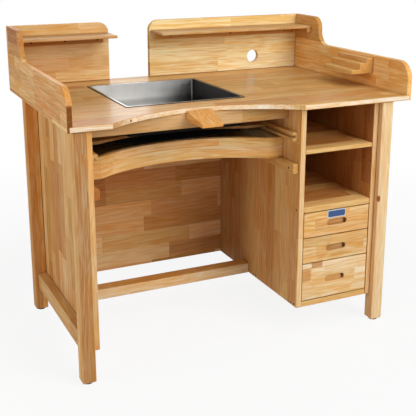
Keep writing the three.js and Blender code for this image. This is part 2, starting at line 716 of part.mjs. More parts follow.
// Apron under the worktop, with the mortise that the bench pin's tenon slides into
function addApronAndPin() {
  const face = FRONT + SCALLOP_DEPTH - APRON_PROUD;
  const rear = face + APRON;
  const pinX = TOP_SCALLOP.x;
  const pinRear = face - RIDE;
  const pinFront = pinRear - PIN_LENGTH;
  const rearTop = WORK_HEIGHT - PIN_TOP_DROP;
  const rearBase = rearTop - PIN_REAR_HEIGHT;
  const frontBase = rearBase - PIN_BASE_FALL;
  const tenonHeights = [rearBase + TENON_BASE_RISE, rearBase + TENON_BASE_RISE + TENON_HEIGHT];
  const tenonWidth = [pinX - TENON_WIDTH / 2, pinX + TENON_WIDTH / 2];
  const apron = board(inset(KNEE, GLUE), [face, rear], [UNDER_TOP - APRON_HEIGHT, UNDER_TOP]);
  const mortiseWidth = inset(tenonWidth, -TENON_PLAY);
  const mortise = block(mortiseWidth, [face - APRON, rear + APRON], inset(tenonHeights, -TENON_PLAY));
  addPiece(bench, "front_apron", HONEY, cut(apron, mortise));
  const ends = [
    [PIN_REAR_WIDTH / 2, pinRear, rearBase, rearTop],
    [PIN_FRONT_WIDTH / 2, pinFront, frontBase, frontBase + PIN_FRONT_HEIGHT],
  ];
  const corners = ends.flatMap(([half, y, low, high]) =>
    [-half, half].flatMap((x) => [low, high].map((z) => new THREE.Vector3(pinX + x, y, z))),
  );
  const tenon = block(tenonWidth, [pinRear - TENON_ROOT, rear + TENON_TAIL], tenonHeights);
  addPiece(bench, "bench_pin", AMBER, joined(new ConvexGeometry(corners), tenon));
}

// The skin frame's place, which its runners and its leather follow
const SKIN_TOP = WORK_HEIGHT - TRAY_DEPTH - TRAY_SHEET - SKIN_TRAY_GAP;
const SKIN_UNDER = SKIN_TOP - SKIN_FRAME;
const SKIN_FRONT = LEG_FRONT + SKIN_SETBACK;
const SKIN_BACK = BACK_FACE - SKIN_BACK_GAP;
const SKIN_WIDTH = inset(KNEE, GLUE + RUNNER_WIDTH - GROOVE_DEPTH + RUN);
const SKIN_SCALLOP = scallop(inset(SKIN_WIDTH, SKIN_END_FLAT), SKIN_FRONT, SKIN_SCALLOP_DEPTH);

// The catch drawer's top, clear of the sagging leather above it
const CATCH_TOP = SKIN_UNDER - RIDE - LEATHER_SAG - LEATHER - CATCH_SKIN_GAP;
const CATCH_BOTTOM = CATCH_TOP - CATCH_HEIGHT;

// Grooved runners of the skin frame and plain runners of the catch drawer
function addRunners() {
  const grooveBottom = SKIN_UNDER - RIDE;
  const grooveTop = SKIN_TOP + GROOVE_PLAY;
  const low = grooveBottom - RUNNER_LIP;
  const high = grooveTop + RUNNER_LIP;
  const floor = RUNNER_WIDTH - GROOVE_DEPTH;
  const upperLength = BACK_FACE - GLUE - LEG_FRONT - UPPER_RUNNER_SETBACK;
  const lowerHeights = [CATCH_BOTTOM - RIDE - LOWER_RUNNER_HEIGHT, CATCH_BOTTOM - RIDE];
  const lowerDepths = [LEG_FRONT + LOWER_RUNNER_SETBACK, BACK_FACE - GLUE];
  const walls = { left: [KNEE[0] + GLUE, 1], right: [KNEE[1] - GLUE, -1] };
  for (const [side, [wall, inwards]] of Object.entries(walls)) {
    const profile = polygon(
      [
        [0, low],
        [RUNNER_WIDTH, low],
        [RUNNER_WIDTH, grooveBottom],
        [floor, grooveBottom],
        [floor, grooveTop],
        [RUNNER_WIDTH, grooveTop],
        [RUNNER_WIDTH, high],
        [0, high],
      ].map(([x, z]) => [wall + inwards * x, z]),
    );
    const upper = turnedAlongY(extruded(profile, upperLength, GROOVE_PLAY), upperLength);
    addPiece(bench, `upper_runner_${side}`, AMBER, upper, 0, LEG_FRONT + UPPER_RUNNER_SETBACK, 0);
    const width = [wall, wall + inwards * RUNNER_WIDTH].sort((a, b) => a - b);
    addBoard(bench, `lower_runner_${side}`, AMBER, width, lowerDepths, lowerHeights);
  }
}

// Pull-out skin frame: a thin border with a scalloped front
function addSkinFrame() {
  const plan = scallopedPlan(new THREE.Shape(), SKIN_SCALLOP, SKIN_WIDTH, SKIN_FRONT, SKIN_BACK);
  const opening = scallopedPlan(
    new THREE.Path(),
    SKIN_SCALLOP,
    inset(SKIN_WIDTH, SKIN_BORDER),
    SKIN_FRONT + SKIN_BORDER,
    SKIN_BACK - SKIN_BORDER,
  );
  plan.holes.push(opening);
  addPiece(bench, "skin_frame", AMBER, extruded(plan, SKIN_FRAME, ARRIS, SCALLOP_STEPS), 0, 0, SKIN_UNDER);
}

// How far the leather hangs at a distance from its nearest hem: flat at the hem, then easing down.
function sagAt(distance) {
  const t = Math.min(Math.max(distance / LEATHER_SAG_RUN, 0), 1);
  return LEATHER_SAG * t * t * (3 - 2 * t);
}

// Leather skin hung under the frame: a closed sheet of a grid of points, sagging in the middle.
function addLeather() {
  const hems = inset(SKIN_WIDTH, SKIN_BORDER - LEATHER_LAP);
  const back = SKIN_BACK - SKIN_BORDER + LEATHER_LAP;
  const top = SKIN_UNDER - RIDE;
  const columns = LEATHER_COLUMNS + 1;
  const layer = columns * (LEATHER_ROWS + 1);
  const points = [];
  for (const drop of [0, LEATHER]) {
    for (let row = 0; row <= LEATHER_ROWS; row += 1) {
      for (let column = 0; column <= LEATHER_COLUMNS; column += 1) {
        const x = THREE.MathUtils.lerp(hems[0], hems[1], column / LEATHER_COLUMNS);
        const front = scallopLine(SKIN_SCALLOP, x) + LEATHER_HEM;
        const y = THREE.MathUtils.lerp(front, back, row / LEATHER_ROWS);
        const toHem = Math.min(x - hems[0], hems[1] - x, y - front, back - y);
        points.push(x, y, top - sagAt(toHem - LEATHER_LAP) - drop);
      }
    }
  }
  const faces = [];
  const quad = (a, b, c, d) => faces.push(a, b, c, a, c, d);
  for (let row = 0; row < LEATHER_ROWS; row += 1) {
    for (let column = 0; column < LEATHER_COLUMNS; column += 1) {
      const at = row * columns + column;
      quad(at, at + 1, at + columns + 1, at + columns);
      quad(layer + at, layer + at + columns, layer + at + columns + 1, layer + at + 1);
    }
  }
  const lastRow = LEATHER_ROWS * columns;
  for (let column = 0; column < LEATHER_COLUMNS; column += 1) {
    quad(column, layer + column, layer + column + 1, column + 1);
    const at = lastRow + column;
    quad(at, at + 1, layer + at + 1, layer + at);
  }
  for (let row = 0; row < LEATHER_ROWS; row += 1) {
    const at = row * columns;
    quad(at, at + columns, layer + at + columns, layer + at);
    const far = at + LEATHER_COLUMNS;
    quad(far, layer + far, layer + far + columns, far + columns);
  }
  const geometry = new THREE.BufferGeometry();
  geometry.setAttribute("position", new THREE.Float32BufferAttribute(points, 3));
  geometry.setIndex(faces);
  geometry.computeVertexNormals();
  addPiece(bench, "leather_skin", HIDE, geometry);
}

// Catch drawer: a scalloped front, two sides, a back and a base, riding on the lower runners
function addCatchDrawer() {
  const front = LEG_FRONT + CATCH_SETBACK;
  const back = BACK_FACE - CATCH_BACK_GAP;
  const wide = inset(KNEE, RUN);
  const arc = scallop(inset(wide, CATCH_END_FLAT), front, CATCH_SCALLOP_DEPTH);
  const plan = new THREE.Shape();
  plan.moveTo(wide[0], front);
  drawScallop(plan, arc);
  plan.lineTo(wide[1], front);
  plan.lineTo(wide[1], front + CATCH_FRONT);
  drawScallopBack(plan, arc, CATCH_FRONT);
  plan.lineTo(wide[0], front + CATCH_FRONT);
  plan.closePath();
  const frontGeometry = extruded(plan, CATCH_HEIGHT, ARRIS, SCALLOP_STEPS);
  addPiece(bench, "catch_front", HONEY, frontGeometry, 0, 0, CATCH_BOTTOM);
  const wallDepths = [front + CATCH_FRONT + GLUE, back];
  const wallHeights = [CATCH_BOTTOM, CATCH_TOP - CATCH_WALL_DROP];
  const leftWall = [wide[0], wide[0] + CATCH_WALL];
  const rightWall = [wide[1] - CATCH_WALL, wide[1]];
  const inside = inset([leftWall[1], rightWall[0]], GLUE);
  addBoard(bench, "catch_side_left", AMBER, leftWall, wallDepths, wallHeights);
  addBoard(bench, "catch_side_right", AMBER, rightWall, wallDepths, wallHeights);
  addBoard(bench, "catch_back", AMBER, inside, [back - CATCH_WALL, back], wallHeights);
  const baseBack = back - CATCH_WALL - GLUE;
  const base = scallopedPlan(new THREE.Shape(), arc, inside, wallDepths[0], baseBack);
  const baseGeometry = extruded(base, CATCH_BASE, GROOVE_PLAY, SCALLOP_STEPS);
  addPiece(bench, "catch_base", PALE, baseGeometry, 0, 0, CATCH_BOTTOM + CATCH_BASE_RISE);
}

addLegs();
addFrame();
addCabinet();
addDrawers();
addWorktop();
addTray();
addSides();
addBackBoards();
addToolShelves();
addToolRack();
addApronAndPin();
addRunners();
addSkinFrame();
addLeather();
addCatchDrawer();

export default bench;
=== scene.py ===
"""A jeweller's bench of pale finger-jointed hardwood, in a plain white studio."""

import math
import random
from collections import namedtuple

import bmesh
import bpy
from mathutils import Matrix, Vector


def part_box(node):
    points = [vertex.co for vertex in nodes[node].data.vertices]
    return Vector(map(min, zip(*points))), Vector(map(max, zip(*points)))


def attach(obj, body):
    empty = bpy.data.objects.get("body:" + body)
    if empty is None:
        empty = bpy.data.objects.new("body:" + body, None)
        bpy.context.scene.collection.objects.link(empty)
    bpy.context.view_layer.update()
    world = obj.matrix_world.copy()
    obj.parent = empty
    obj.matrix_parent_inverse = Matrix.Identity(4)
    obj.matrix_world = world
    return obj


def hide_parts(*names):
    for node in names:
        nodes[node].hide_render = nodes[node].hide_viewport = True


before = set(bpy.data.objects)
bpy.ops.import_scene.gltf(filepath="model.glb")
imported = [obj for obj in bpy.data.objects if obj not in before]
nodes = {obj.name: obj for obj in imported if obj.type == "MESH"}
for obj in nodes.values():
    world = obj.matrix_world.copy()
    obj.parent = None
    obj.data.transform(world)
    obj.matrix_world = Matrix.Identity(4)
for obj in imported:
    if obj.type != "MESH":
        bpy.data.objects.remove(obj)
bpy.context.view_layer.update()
scene = bpy.context.scene

AXES = {"X": 0, "Y": 1, "Z": 2}
WHITE = (1, 1, 1, 1)


def linear(code):
    """An sRGB colour written as six hex digits, as linear RGBA."""
    parts = [int(code[i : i + 2], 16) / 255 for i in (0, 2, 4)]
    return [c / 12.92 if c <= 0.04045 else ((c + 0.055) / 1.055) ** 2.4 for c in parts] + [1.0]


class Nodes:
    """A node tree, with short calls for the nodes it uses."""

    def __init__(self, tree):
        self.tree = tree

    def put(self, socket, value):
        """Links a socket to another one, or sets it to a constant."""
        if isinstance(value, bpy.types.NodeSocket):
            self.tree.links.new(value, socket)
        else:
            socket.default_value = value

    def node(self, kind, settings=None, **inputs):
        """A new node, with its settings and inputs."""
        made = self.tree.nodes.new("ShaderNode" + kind)
        for key, value in (settings or {}).items():
            setattr(made, key, value)
        for key, value in inputs.items():
            self.put(made.inputs[key.replace("_", " ")], value)
        return made

    def fill(self, made, values):
        """Puts values into a node's first sockets, in their order."""
        for socket, value in zip(made.inputs, values):
            self.put(socket, value)
        return made

    def math(self, operation, *values):
        """The result of a Math node."""
        return self.fill(self.node("Math", {"operation": operation}), values).outputs[0]

    def vector(self, operation, *values):
        """The result of a Vector Math node."""
        made = self.fill(self.node("VectorMath", {"operation": operation}), values)
        return made.outputs["Value" if operation in ("LENGTH", "DOT_PRODUCT") else "Vector"]

    def ease(self, value, low, high, start=0.0, end=1.0, curve="SMOOTHSTEP"):
        """Eases value from start at low to end at high."""
        made = self.node("MapRange", {"interpolation_type": curve})
        return self.fill(made, (value, low, high, start, end)).outputs[0]

    def mix(self, factor, first, second, blend="MIX"):
        """Two colours mixed by a factor."""
        made = self.node("Mix", {"data_type": "RGBA", "blend_type": blend})
        for index, value in ((0, factor), (6, first), (7, second)):
            self.put(made.inputs[index], value)
        return made.outputs[2]

    def blend(self, factor, first, second):
        """One of two shaders, or a share of both."""
        made = self.node("MixShader")
        return self.fill(made, (factor, first.outputs[0], second.outputs[0])).outputs[0]

    def ramp(self, factor, stops):
        """A colour from stops, each a position and a linear colour."""
        made = self.node("ValToRGB", Fac=factor)
        elements = made.color_ramp.elements
        while len(elements) < len(stops):
            elements.new(0.5)
        for element, (position, colour) in zip(elements, stops):
            element.position = position
            element.color = colour
        return made.outputs["Color"]

    def noise(self, vector, detail=2.0, roughness=0.5, distortion=0.0):
        """Noise between 0 and 1 over a vector."""
        made = self.node("TexNoise", Vector=vector, Scale=1.0, Detail=detail)
        made.inputs["Roughness"].default_value = roughness
        made.inputs["Distortion"].default_value = distortion
        return made.outputs["Fac"]


class Shader(Nodes):
    """One material's node tree."""

    def __init__(self, name):
        self.material = bpy.data.materials.new(name)
        self.material.use_nodes = True
        super().__init__(self.material.node_tree)
        self.surface = self.tree.nodes["Principled BSDF"]
        place = self.node("TexCoord")
        self.here = place.outputs["Object"]
        self.normal = place.outputs["Normal"]

    def axes(self):
        """The place on the object, as X, Y and Z."""
        return self.node("SeparateXYZ", Vector=self.here).outputs

    def facing(self):
        """The direction that the surface faces, as X, Y and Z."""
        return self.node("SeparateXYZ", Vector=self.normal).outputs

    def scaled_noise(self, scale, *settings):
        """Noise over the object, with a scale for each axis."""
        return self.noise(self.vector("MULTIPLY", self.here, scale), *settings)

    def within(self, low, high, soft, strength):
        """The strength inside a box, easing to none across its soft border."""
        middle = [(a + b) / 2 for a, b in zip(low, high)]
        half = [(b - a) / 2 for a, b in zip(low, high)]
        away = self.vector("ABSOLUTE", self.vector("SUBTRACT", self.here, middle))
        out = self.node("SeparateXYZ", Vector=self.vector("SUBTRACT", away, half)).outputs
        out = self.math("MAXIMUM", self.math("MAXIMUM", out[0], out[1]), out[2])
        return self.ease(out, -soft, soft, strength, 0.0)

    def finish(self, **inputs):
        """Sets the surface's own sockets, and returns the material."""
        for key, value in inputs.items():
            self.put(self.surface.inputs[key.replace("_", " ")], value)
        return self.material


# Tones of the wood's staves, from the darkest to the palest, in dark, middling and pale timber
AMBER = ("AA743E", "BC8750", "CB9A5E", "D5A86E", "DFB882")
HONEY = ("C49054", "CF9E62", "DAAE72", "E2BA80", "EAC892")
PALE = ("D9AB6D", "E4BD84", "ECCC9A", "F0D6AA", "F4DFBC")
TONE_STOPS = (0.0, 0.2, 0.5, 0.8, 1.0)
HUE_SPREAD = 0.014
# A pale tone for wear on edges, which also stands for painted highlight on edges and on faces to the front
WORN_AND_LIT = "F0D6A8"
# Painted shade for crevices, gaps and joints
CREVICE_SHADE = "744016"
KNOT = "8C3E08"
# Painted shade for the inside of peg holes
BORE_SHADE = "2A180C"
PULL_SHADE = "A8763F"
# Painted shade for the right end of a finger pull
PULL_END_SHADE = "5A3012"
WARMTH = (0.85, 0.6, 0.32, 1.0)
DEPTH_GAMMA = 1.75

# Steps that keep the random draws of staves, layers, blocks and woods apart
ROW_STEP = 0.37
ROW_SEED_STEP = 7.0
LAYER_STEP = 31.0
COLUMN_STEP = 17.3
CELL_SEED_STEP = 3.0
FIGURE_STEP = 43.0
LEAST_PACE = 0.7
PACE_SPREAD = 0.7

# The figure's scales along and across the grain, per metre
FLOW = (2.2, 17.0, 17.0)
STREAKS = (7.5, 160.0, 160.0)
FIBRES = (11.0, 300.0, 300.0)
PORES = (75.0, 1400.0, 1400.0)
RING_TURNS = 52.0

# Where each part of the figure starts and is full, and its share of the warm or the deep tone
RING_SHARE = 0.3
STREAK_RANGE = (0.4, 0.68)
STREAK_SHARE = 0.62
FLOW_RANGE = (0.44, 0.72)
FLOW_SHARE = 0.4
FIBRE_RANGE = (0.46, 0.72)
FIBRE_SHARE = 0.62
PORE_RANGE = (0.62, 0.72)
PORE_SHARE = 0.3
END_RANGE = (0.7, 0.95)
END_SHARE = 0.35
CLOUD_SHARE = 0.3

# Seams, edges paled by wear and painted highlight, painted shade in crevices, knots, painted light or shade
# on faces to the front, and the relief of fibres and pores
SEAM_LINE = (0.0001, 0.0008)
SEAM_SHARE = 0.35
EDGE_RADIUS = 0.0022
EDGE_RANGE = (0.8, 0.98)
CREVICE_SHADE_REACH = 0.01
CREVICE_SHADE_RANGE = (0.15, 0.6)
CREVICE_SHADE_SHARE = 0.65
KNOT_SQUEEZE = (1.0, 1.0, 0.6)
KNOT_SHARE = 0.95
FRONT_LIGHT_RANGE = (0.75, 0.9)
FIBRE_HEIGHT = 0.6
PORE_DEPTH = 0.8

Blocks = namedtuple("Blocks", "run side depth rows columns pace cell")
Patch = namedtuple("Patch", "low high code strength soft")


def tones_at(level, tint):
    """The staves' tones in dark (0), middling (1) or pale (2) timber, or beyond, as linear colours."""
    low, high, share = (AMBER, HONEY, level) if level < 1 else (HONEY, PALE, level - 1)
    tones = []
    for first, second in zip(low, high):
        pair = zip(linear(first), linear(second))
        tones.append([a * (b / a) ** share * t for (a, b), t in zip(pair, (*tint, 1.0))])
    return tones


def lay_blocks(s, along, across, stave, block, seed, layer):
    """Staves side by side across, each a row of blocks end to end along."""
    axes = s.axes()
    run, side = axes[AXES[along]], axes[AXES[across]]
    depth = axes[3 - AXES[along] - AXES[across]]
    rows = s.math("ADD", s.math("DIVIDE", side, stave), seed * ROW_STEP)
    row = s.math("FLOOR", rows)
    if layer:
        row = s.math("MULTIPLY_ADD", s.math("FLOOR", s.math("DIVIDE", depth, layer)), LAYER_STEP, row)
    row = s.math("ADD", row, seed * ROW_SEED_STEP)
    chance = s.node("TexWhiteNoise", {"noise_dimensions": "1D"}, W=row).outputs["Value"]
    pace = s.math("DIVIDE", s.math("MULTIPLY_ADD", chance, PACE_SPREAD, LEAST_PACE), block)
    columns = s.math("MULTIPLY_ADD", run, pace, s.math("MULTIPLY", chance, COLUMN_STEP))
    column = s.math("FLOOR", columns)
    at = s.node("CombineXYZ", X=row, Y=column, Z=seed * CELL_SEED_STEP).outputs[0]
    cell = s.node("TexWhiteNoise", {"noise_dimensions": "3D"}, Vector=at).outputs
    return Blocks(run, side, depth, rows, columns, pace, cell)


def block_tone(s, cell, level, contrast, tint, front, patches):
    """Each block's own tone and hue, a painted light or shade tone for faces to the front, and patches that
    stand out, some of them painted shade.
    """
    pick = s.math("MULTIPLY_ADD", cell["Value"], contrast, 0.5 - 0.5 * contrast)
    tone = s.ramp(pick, list(zip(TONE_STOPS, tones_at(level, tint))))
    hue = s.node("SeparateColor", Color=cell["Color"]).outputs["Green"]
    hue = s.math("MULTIPLY_ADD", hue, HUE_SPREAD, 0.5 - 0.5 * HUE_SPREAD)
    tone = s.node("HueSaturation", Hue=hue, Color=tone).outputs[0]
    # Painted light or shade: faces to the front take their own tone, for how the light falls on them
    if front:
        code, strength = front
        ahead = s.ease(s.math("MULTIPLY", s.facing()[1], -1.0), *FRONT_LIGHT_RANGE, 0.0, strength)
        tone = s.mix(ahead, tone, linear(code))
    for patch in patches:
        share = s.within(patch.low, patch.high, patch.soft, patch.strength)
        tone = s.mix(share, tone, linear(patch.code))
    return tone


def wood(
    name, along, across, stave, block, level, seed,
    contrast=0.5, figure=1.0, layer=None, knots=(), front=None, patches=(), gloss=0.0, rub=0.3, thick=1.0,
    tint=(1.0, 1.0, 1.0),
):
    """Lacquered finger-jointed wood, with its figure, fibres, seams, edges paled by wear and painted
    highlight, and painted shade in crevices.
    """
    s = Shader(name)
    laid = lay_blocks(s, along, across, stave, block, seed, layer)
    tone = block_tone(s, laid.cell, level, contrast, tint, front, patches)
    warm = s.mix(1.0, tone, WARMTH, "MULTIPLY")
    deep = s.node("Gamma", Color=tone, Gamma=DEPTH_GAMMA).outputs[0]

    thickness = s.math("MULTIPLY", laid.depth, thick)
    lie = s.node("CombineXYZ", X=laid.run, Y=laid.side, Z=thickness).outputs[0]
    apart = s.vector("SCALE", laid.cell["Color"])
    apart.node.inputs["Scale"].default_value = FIGURE_STEP

    def drawn(scale, *settings):
        """Noise that lies along the grain and differs from block to block."""
        return s.noise(s.vector("MULTIPLY_ADD", lie, scale, apart), *settings)

    broad = drawn(FLOW, 2.5, 0.5, 0.5)
    rings = s.math("MULTIPLY_ADD", s.math("SINE", s.math("MULTIPLY", broad, RING_TURNS)), 0.5, 0.5)
    streak = drawn(STREAKS, 3.0, 0.6, 0.3)
    grain = drawn(FIBRES, 3.0, 0.6)
    pores = s.ease(drawn(PORES, 1.0, 0.5), *PORE_RANGE)

    warmer = s.math("MULTIPLY", rings, RING_SHARE * figure)
    warmer = s.math("MULTIPLY_ADD", s.ease(streak, *STREAK_RANGE), STREAK_SHARE * figure, warmer)
    warmer = s.math("MULTIPLY_ADD", s.ease(broad, *FLOW_RANGE), FLOW_SHARE * figure, warmer)
    colour = s.mix(s.math("MINIMUM", warmer, 1.0), tone, warm)
    end = s.ease(s.math("ABSOLUTE", s.facing()[AXES[along]]), *END_RANGE)
    deeper = s.ease(grain, *FIBRE_RANGE, 0.0, FIBRE_SHARE)
    deeper = s.math("MULTIPLY_ADD", pores, PORE_SHARE, deeper)
    deeper = s.math("MULTIPLY_ADD", end, END_SHARE, deeper)
    colour = s.mix(s.math("MINIMUM", deeper, 1.0), colour, deep)
    cloud = s.math("MULTIPLY_ADD", broad, CLOUD_SHARE * figure, 1.0 - 0.5 * CLOUD_SHARE * figure)
    colour = s.mix(1.0, colour, cloud, "MULTIPLY")
    for knot_at, radius in knots:
        gap = s.vector("SUBTRACT", s.here, knot_at)
        gap = s.vector("LENGTH", s.vector("MULTIPLY", gap, KNOT_SQUEEZE))
        colour = s.mix(s.ease(gap, 0.5 * radius, radius, KNOT_SHARE, 0.0), colour, linear(KNOT))

    seam = s.math("MULTIPLY", s.math("PINGPONG", laid.rows, 0.5), stave)
    butt = s.math("DIVIDE", s.math("PINGPONG", laid.columns, 0.5), laid.pace)
    line = s.ease(s.math("MINIMUM", seam, butt), *SEAM_LINE, 1.0, 0.0)
    colour = s.mix(s.math("MULTIPLY", line, SEAM_SHARE), colour, deep)
    # Edges found by the bevel turn paler: partly wear, partly a painted highlight where edges catch the
    # light
    soft = s.node("Bevel", {"samples": 4}, Radius=EDGE_RADIUS).outputs["Normal"]
    true = s.node("NewGeometry").outputs["Normal"]
    rubbed = s.ease(s.vector("DOT_PRODUCT", soft, true), *EDGE_RANGE, rub, 0.0)
    colour = s.mix(rubbed, colour, linear(WORN_AND_LIT))
    # Painted shade: darker where ambient occlusion finds crevices, gaps and joints
    open_to = s.node("AmbientOcclusion", {"samples": 6}, Distance=CREVICE_SHADE_REACH).outputs["AO"]
    colour = s.mix(s.ease(open_to, *CREVICE_SHADE_RANGE, CREVICE_SHADE_SHARE, 0.0), colour, linear(CREVICE_SHADE))

    relief = s.math("MULTIPLY_ADD", pores, -PORE_DEPTH, s.math("MULTIPLY", grain, FIBRE_HEIGHT))
    relief = s.math("SUBTRACT", relief, line)
    bump = s.node("Bump", Height=relief, Strength=0.16, Distance=0.0004, Normal=soft)
    return s.finish(
        Base_Color=colour,
        Roughness=s.math("MULTIPLY_ADD", grain, 0.2, 0.4),
        Normal=bump.outputs[0],
        Specular_IOR_Level=0.06,
        Coat_Weight=gloss,
        Coat_Roughness=0.2,
    )


def brushed(name, code, along, rough):
    """Brushed sheet metal, its scratches along one axis."""
    s = Shader(name)
    stretch = [900.0, 900.0, 900.0]
    stretch[AXES[along]] = 9.0
    scratch_gloss = 0.16
    fine = s.scaled_noise(stretch, 3.0, 0.6)
    smear = s.scaled_noise((9.0, 9.0, 9.0), 3.0)
    shade = s.math("MULTIPLY_ADD", fine, 0.22, 0.89)
    colour = s.mix(1.0, linear(code), shade, "MULTIPLY")
    blur = s.math("MULTIPLY_ADD", smear, 0.14, rough - 0.07)
    blur = s.math("MULTIPLY_ADD", fine, scratch_gloss, s.math("SUBTRACT", blur, scratch_gloss / 2))
    bump = s.node("Bump", Height=fine, Strength=0.1, Distance=0.0002)
    return s.finish(Base_Color=colour, Metallic=1.0, Roughness=blur, Normal=bump.outputs[0])


# The steel tray: its tones and painted shades, the width of its painted dark hem, and how far along and down
# its walls the painted shade reaches
TRAY_STEEL = "FCFBF8"
TRAY_CORNER_SHADE = "2A2724"
TRAY_OUTSIDE_SHADE = "1A1816"
TRAY_HEM_SHADE_WIDTH = 0.0035
TRAY_SHADE_FROM = 0.28
TRAY_LEFT_SHADE = 0.16
TRAY_FOOT_SHADE = (0.072, 0.05)
CORNER_SHADE_REACH = 0.1


def tray_steel(name, box):
    """Brushed steel with painted shade: darker low down and to the right inside, in corners, on a hem and on
    its outer faces.
    """
    s = Shader(name)
    low, high = box
    axes, facing = s.axes(), s.facing()
    fine = s.scaled_noise((9.0, 700.0, 700.0), 3.0, 0.6)
    smear = s.scaled_noise((22.0, 9.0, 7.0), 3.0, 0.5, 0.6)
    shade = s.math("MULTIPLY_ADD", fine, 0.16, s.math("MULTIPLY_ADD", smear, 0.3, 0.77))
    foot_low, foot_high = (high[2] - down for down in TRAY_FOOT_SHADE)
    # Painted shade: darker to the right, a little at the left end, on the right wall, on the floor and low
    # on the walls
    shade_falls = (
        s.ease(axes[0], low[0] + TRAY_SHADE_FROM, high[0], 1.0, 0.4),
        s.ease(axes[0], low[0], low[0] + TRAY_LEFT_SHADE, 0.86, 1.0),
        s.ease(facing[0], -0.9, -0.5, 0.1, 1.0),
        s.ease(facing[2], 0.5, 0.9, 1.0, 0.3),
        s.ease(axes[2], foot_low, foot_high, 0.5, 1.0),
    )
    for fall in shade_falls:
        shade = s.math("MULTIPLY", shade, fall)
    colour = s.mix(1.0, linear(TRAY_STEEL), shade, "MULTIPLY")
    # Painted shade: darker in the tray's corners, where ambient occlusion finds them
    local = {"samples": 16, "only_local": True}
    open_to = s.node("AmbientOcclusion", local, Distance=CORNER_SHADE_REACH).outputs["AO"]
    colour = s.mix(s.ease(open_to, 0.1, 0.55, 0.7, 0.0), colour, linear(TRAY_CORNER_SHADE))

    # Painted shade: the tray's outer faces and underside are made near black and rough, for the shade under
    # the apron
    middle = [(a + b) / 2 for a, b in zip(low, high)]
    outward = s.vector("MULTIPLY", s.vector("SUBTRACT", s.here, middle), (1.0, 1.0, 0.0))
    outward = s.vector("DOT_PRODUCT", outward, s.normal)
    shaded_outside = s.math("MAXIMUM", s.ease(outward, 0.02, 0.05), s.ease(facing[2], -0.5, -0.9))
    # Painted shadow: a dark hem round the rim, for the thin shadow at its edge
    inner_low = (low[0] + TRAY_HEM_SHADE_WIDTH, low[1] + TRAY_HEM_SHADE_WIDTH, 0.0)
    inner_high = (high[0] - TRAY_HEM_SHADE_WIDTH, high[1] - TRAY_HEM_SHADE_WIDTH, 1.0)
    hem = s.math("SUBTRACT", 1.0, s.within(inner_low, inner_high, 0.0005, 1.0))
    shaded_outside = s.math("MAXIMUM", shaded_outside, hem)
    colour = s.mix(shaded_outside, colour, linear(TRAY_OUTSIDE_SHADE))
    rough = s.math("MULTIPLY_ADD", smear, 0.1, s.math("MULTIPLY_ADD", fine, 0.1, 0.2))
    rough = s.math("MULTIPLY_ADD", shaded_outside, 0.25, rough)
    bump = s.node("Bump", Height=fine, Strength=0.06, Distance=0.0002)
    return s.finish(Base_Color=colour, Metallic=1.0, Roughness=rough, Normal=bump.outputs[0])


# Tones of the hide: its black, its dust and the pits between its pebbles
HIDE_BLACK = "17181A"
HIDE_DUST = "232322"
HIDE_PIT = "0E0E0F"
PEBBLES = 620.0


def leather(name):
    """Black hide with a fine pebble, a little dusty where it hangs."""
    s = Shader(name)
    pebble = s.node("TexVoronoi", {"feature": "F1"}, Vector=s.here, Scale=PEBBLES).outputs["Distance"]
    crease = s.scaled_noise((60.0, 60.0, 60.0), 5.0, 0.6, 0.8)
    dust = s.scaled_noise((7.0, 7.0, 7.0), 4.0)
    colour = s.mix(s.ease(dust, 0.45, 0.75, 0.0, 0.6), linear(HIDE_BLACK), linear(HIDE_DUST))
    colour = s.mix(s.ease(pebble, 0.5, 0.9, 0.0, 0.7), colour, linear(HIDE_PIT))
    height = s.math("MULTIPLY_ADD", crease, 0.7, s.math("SUBTRACT", 1.0, pebble))
    bump = s.node("Bump", Height=height, Strength=0.35, Distance=0.0006)
    rough = s.math("MULTIPLY_ADD", crease, 0.2, 0.5)
    return s.finish(Base_Color=colour, Roughness=rough, Normal=bump.outputs[0], Specular_IOR_Level=0.03)


def speckled(name, code, shine, metal=0.0, scale=700.0):
    """Moulded plastic or blackened metal: a fine mottle in its colour and its gloss."""
    s = Shader(name)
    fleck = s.scaled_noise((scale,) * 3, 3.0, 0.6)
    colour = s.mix(1.0, linear(code), s.math("MULTIPLY_ADD", fleck, 0.5, 0.75), "MULTIPLY")
    bump = s.node("Bump", Height=fleck, Strength=0.15, Distance=0.0003)
    rough = s.math("MULTIPLY_ADD", fleck, 0.2, shine - 0.1)
    return s.finish(Base_Color=colour, Metallic=metal, Roughness=rough, Normal=bump.outputs[0])


def dress(name, material):
    """Gives a CAD node its only material."""
    data = nodes[name].data
    data.materials.clear()
    data.materials.append(material)


def dress_wood(key, made_of, *grain, **looks):
    """Gives some nodes one wood: along, across, stave width, block length, level, seed and how it looks."""
    material = wood("wood_" + key, *grain, **looks)
    for name in made_of:
        dress(name, material)


# Marks that stand out in the photograph: a dark board end, a chip, a knot and dark blocks; and painted shade
# on a leg's side and at a cabinet panel's back
DARK_END = Patch((-0.602, -0.384, 0.80), (-0.58, -0.3795, 0.888), "8A5428", 0.9, 0.0006)
LEG_CHIP = Patch((-0.5458, -0.374, 0.573), (-0.5435, -0.366, 0.625), "6A3414", 0.7, 0.002)
LEG_KNOT = ((0.4945, -0.372, 0.463), 0.009)
# Painted shade: the warmer colour that the leg's left side shows in shade
LEG_SIDE_SHADE = Patch((0.480, -0.3705, 0.0), (0.4925, -0.33, 0.9), "DCA45E", 0.5, 0.0008)
# Painted shadow: the cabinet's left panel grows darker towards its back
CABINET_BACK_SHADE = Patch((0.0, 0.03, 0.0), (0.4, 0.4, 0.74), "7A4A20", 0.5, 0.09)
DARK_BLOCKS = (
    Patch((0.2435, -0.36, 0.240), (0.287, -0.33, 0.262), "C0803C", 0.75, 0.003),
    Patch((0.200, -0.36, 0.193), (0.241, -0.33, 0.241), "C88C44", 0.6, 0.004),
)

